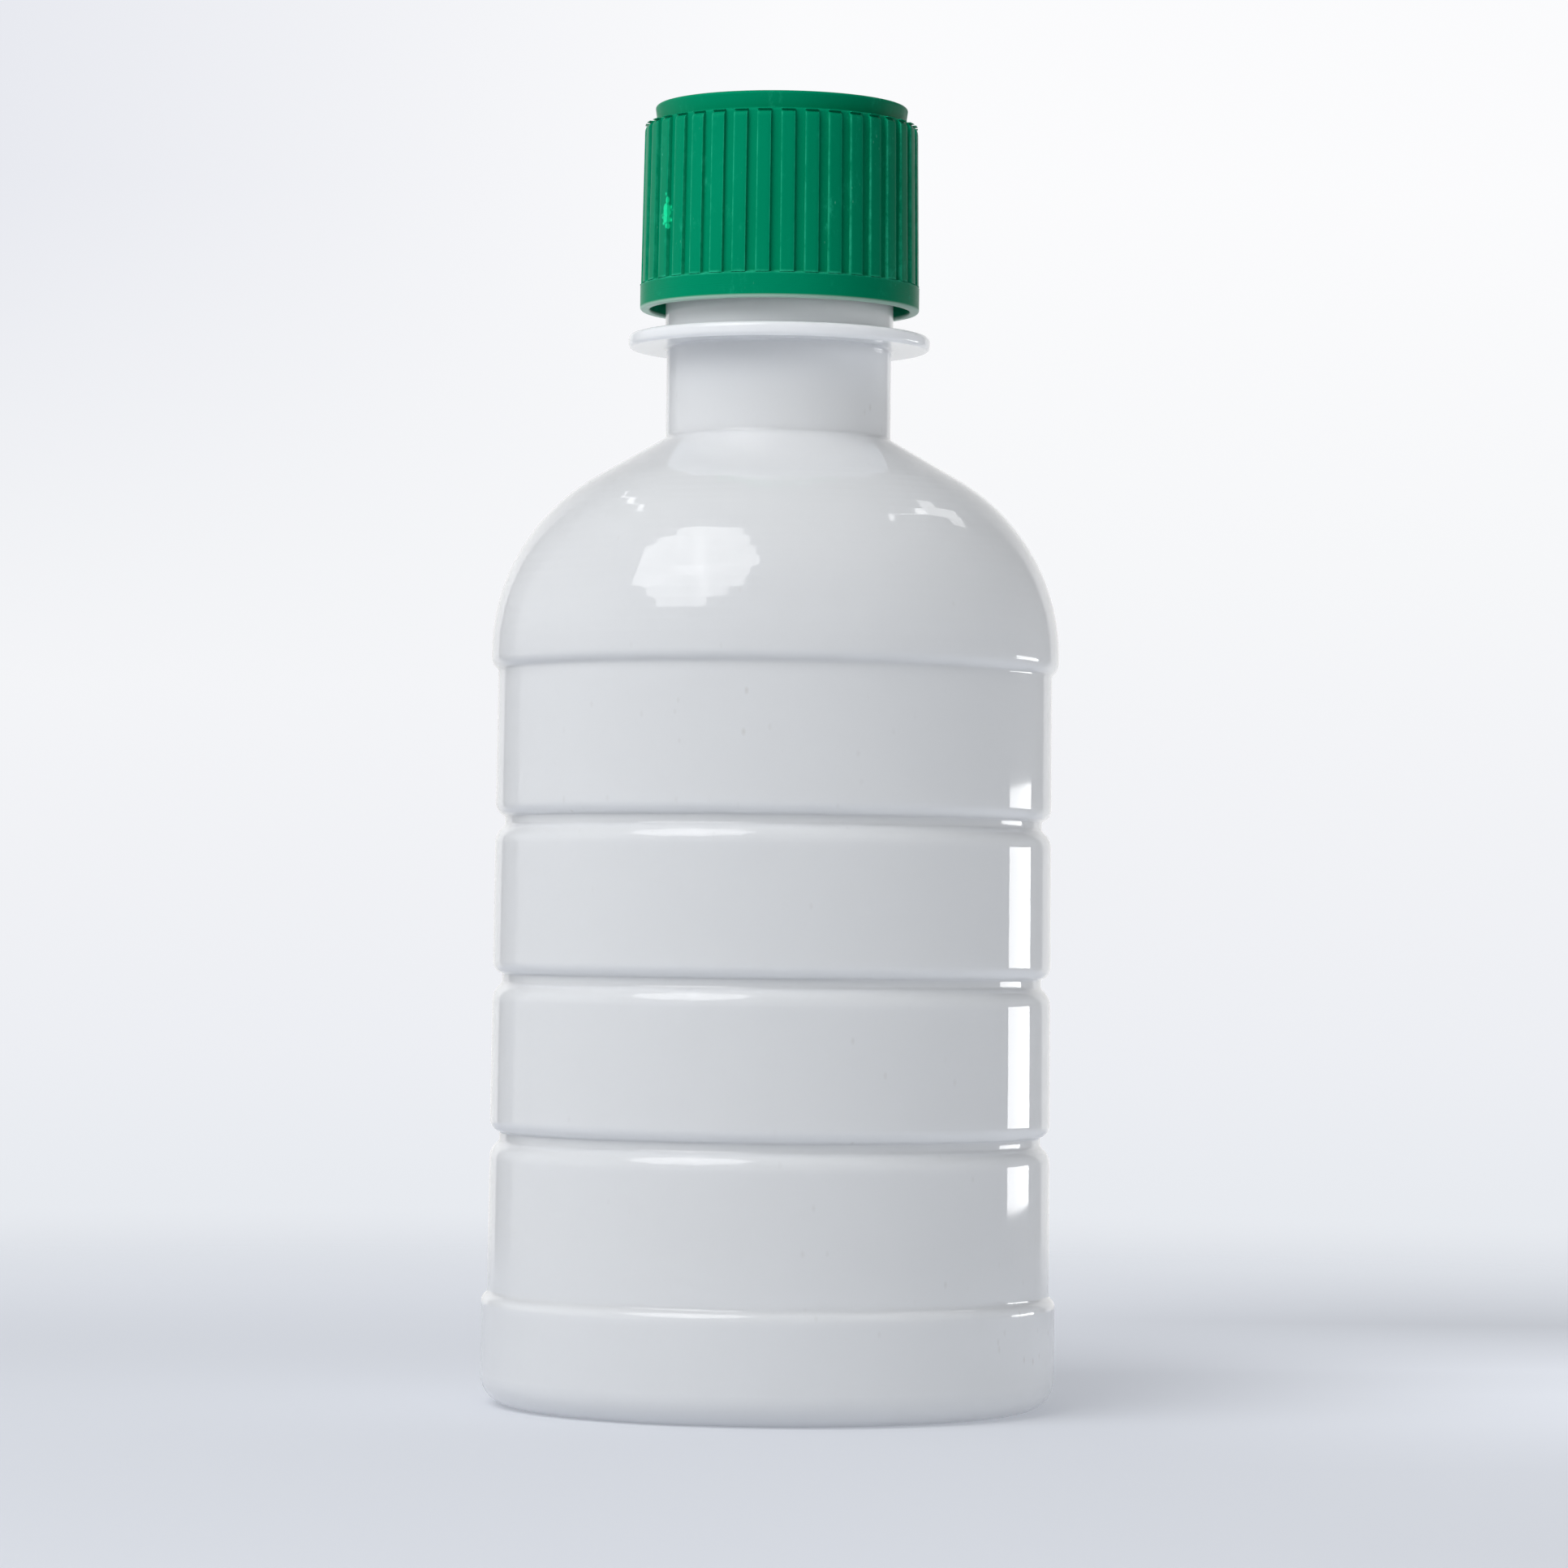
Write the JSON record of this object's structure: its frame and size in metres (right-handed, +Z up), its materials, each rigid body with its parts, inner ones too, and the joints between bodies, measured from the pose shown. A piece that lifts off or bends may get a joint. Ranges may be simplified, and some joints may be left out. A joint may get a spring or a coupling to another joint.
{
  "type": "plastic bottle with screw cap",
  "caption": "Round white plastic bottle with grooved body, domed shoulder and support ring, closed by a green ribbed screw cap with a sealing disc.",
  "frame": {"origin": "on the table, under the middle of the base", "axes": "+Z up along the bottle's axis, towards the cap; the picture looks along +Y"},
  "size_m": [0.0624, 0.0624, 0.1418],
  "materials": {
    "bottle_white": "milky white, high gloss",
    "cap_green": "green, satin, fine scuffs and dust",
    "liner_foam": "off-white foamed disc, matt"
  },
  "bodies": {
    "bottle": {"bottle": "bottle_white"},
    "liner": {"liner": "liner_foam"},
    "cap": {"cap": "cap_green"}
  },
  "joints": [
    {"name": "cap_lift", "type": "slide", "parent": "bottle", "child": "liner", "axis": [0, 0, 1], "range_m": [0, 0.04453]},
    {"name": "cap_turn", "type": "hinge", "parent": "liner", "child": "cap", "pos_m": [0, 0, 0.1305], "axis": [0, 0, 1], "range_deg": [0, 5040]}
  ],
  "couplings": [
    {"joint": "cap_lift", "follows": "cap_turn", "m_per_rad": 0.00050611}
  ]
}
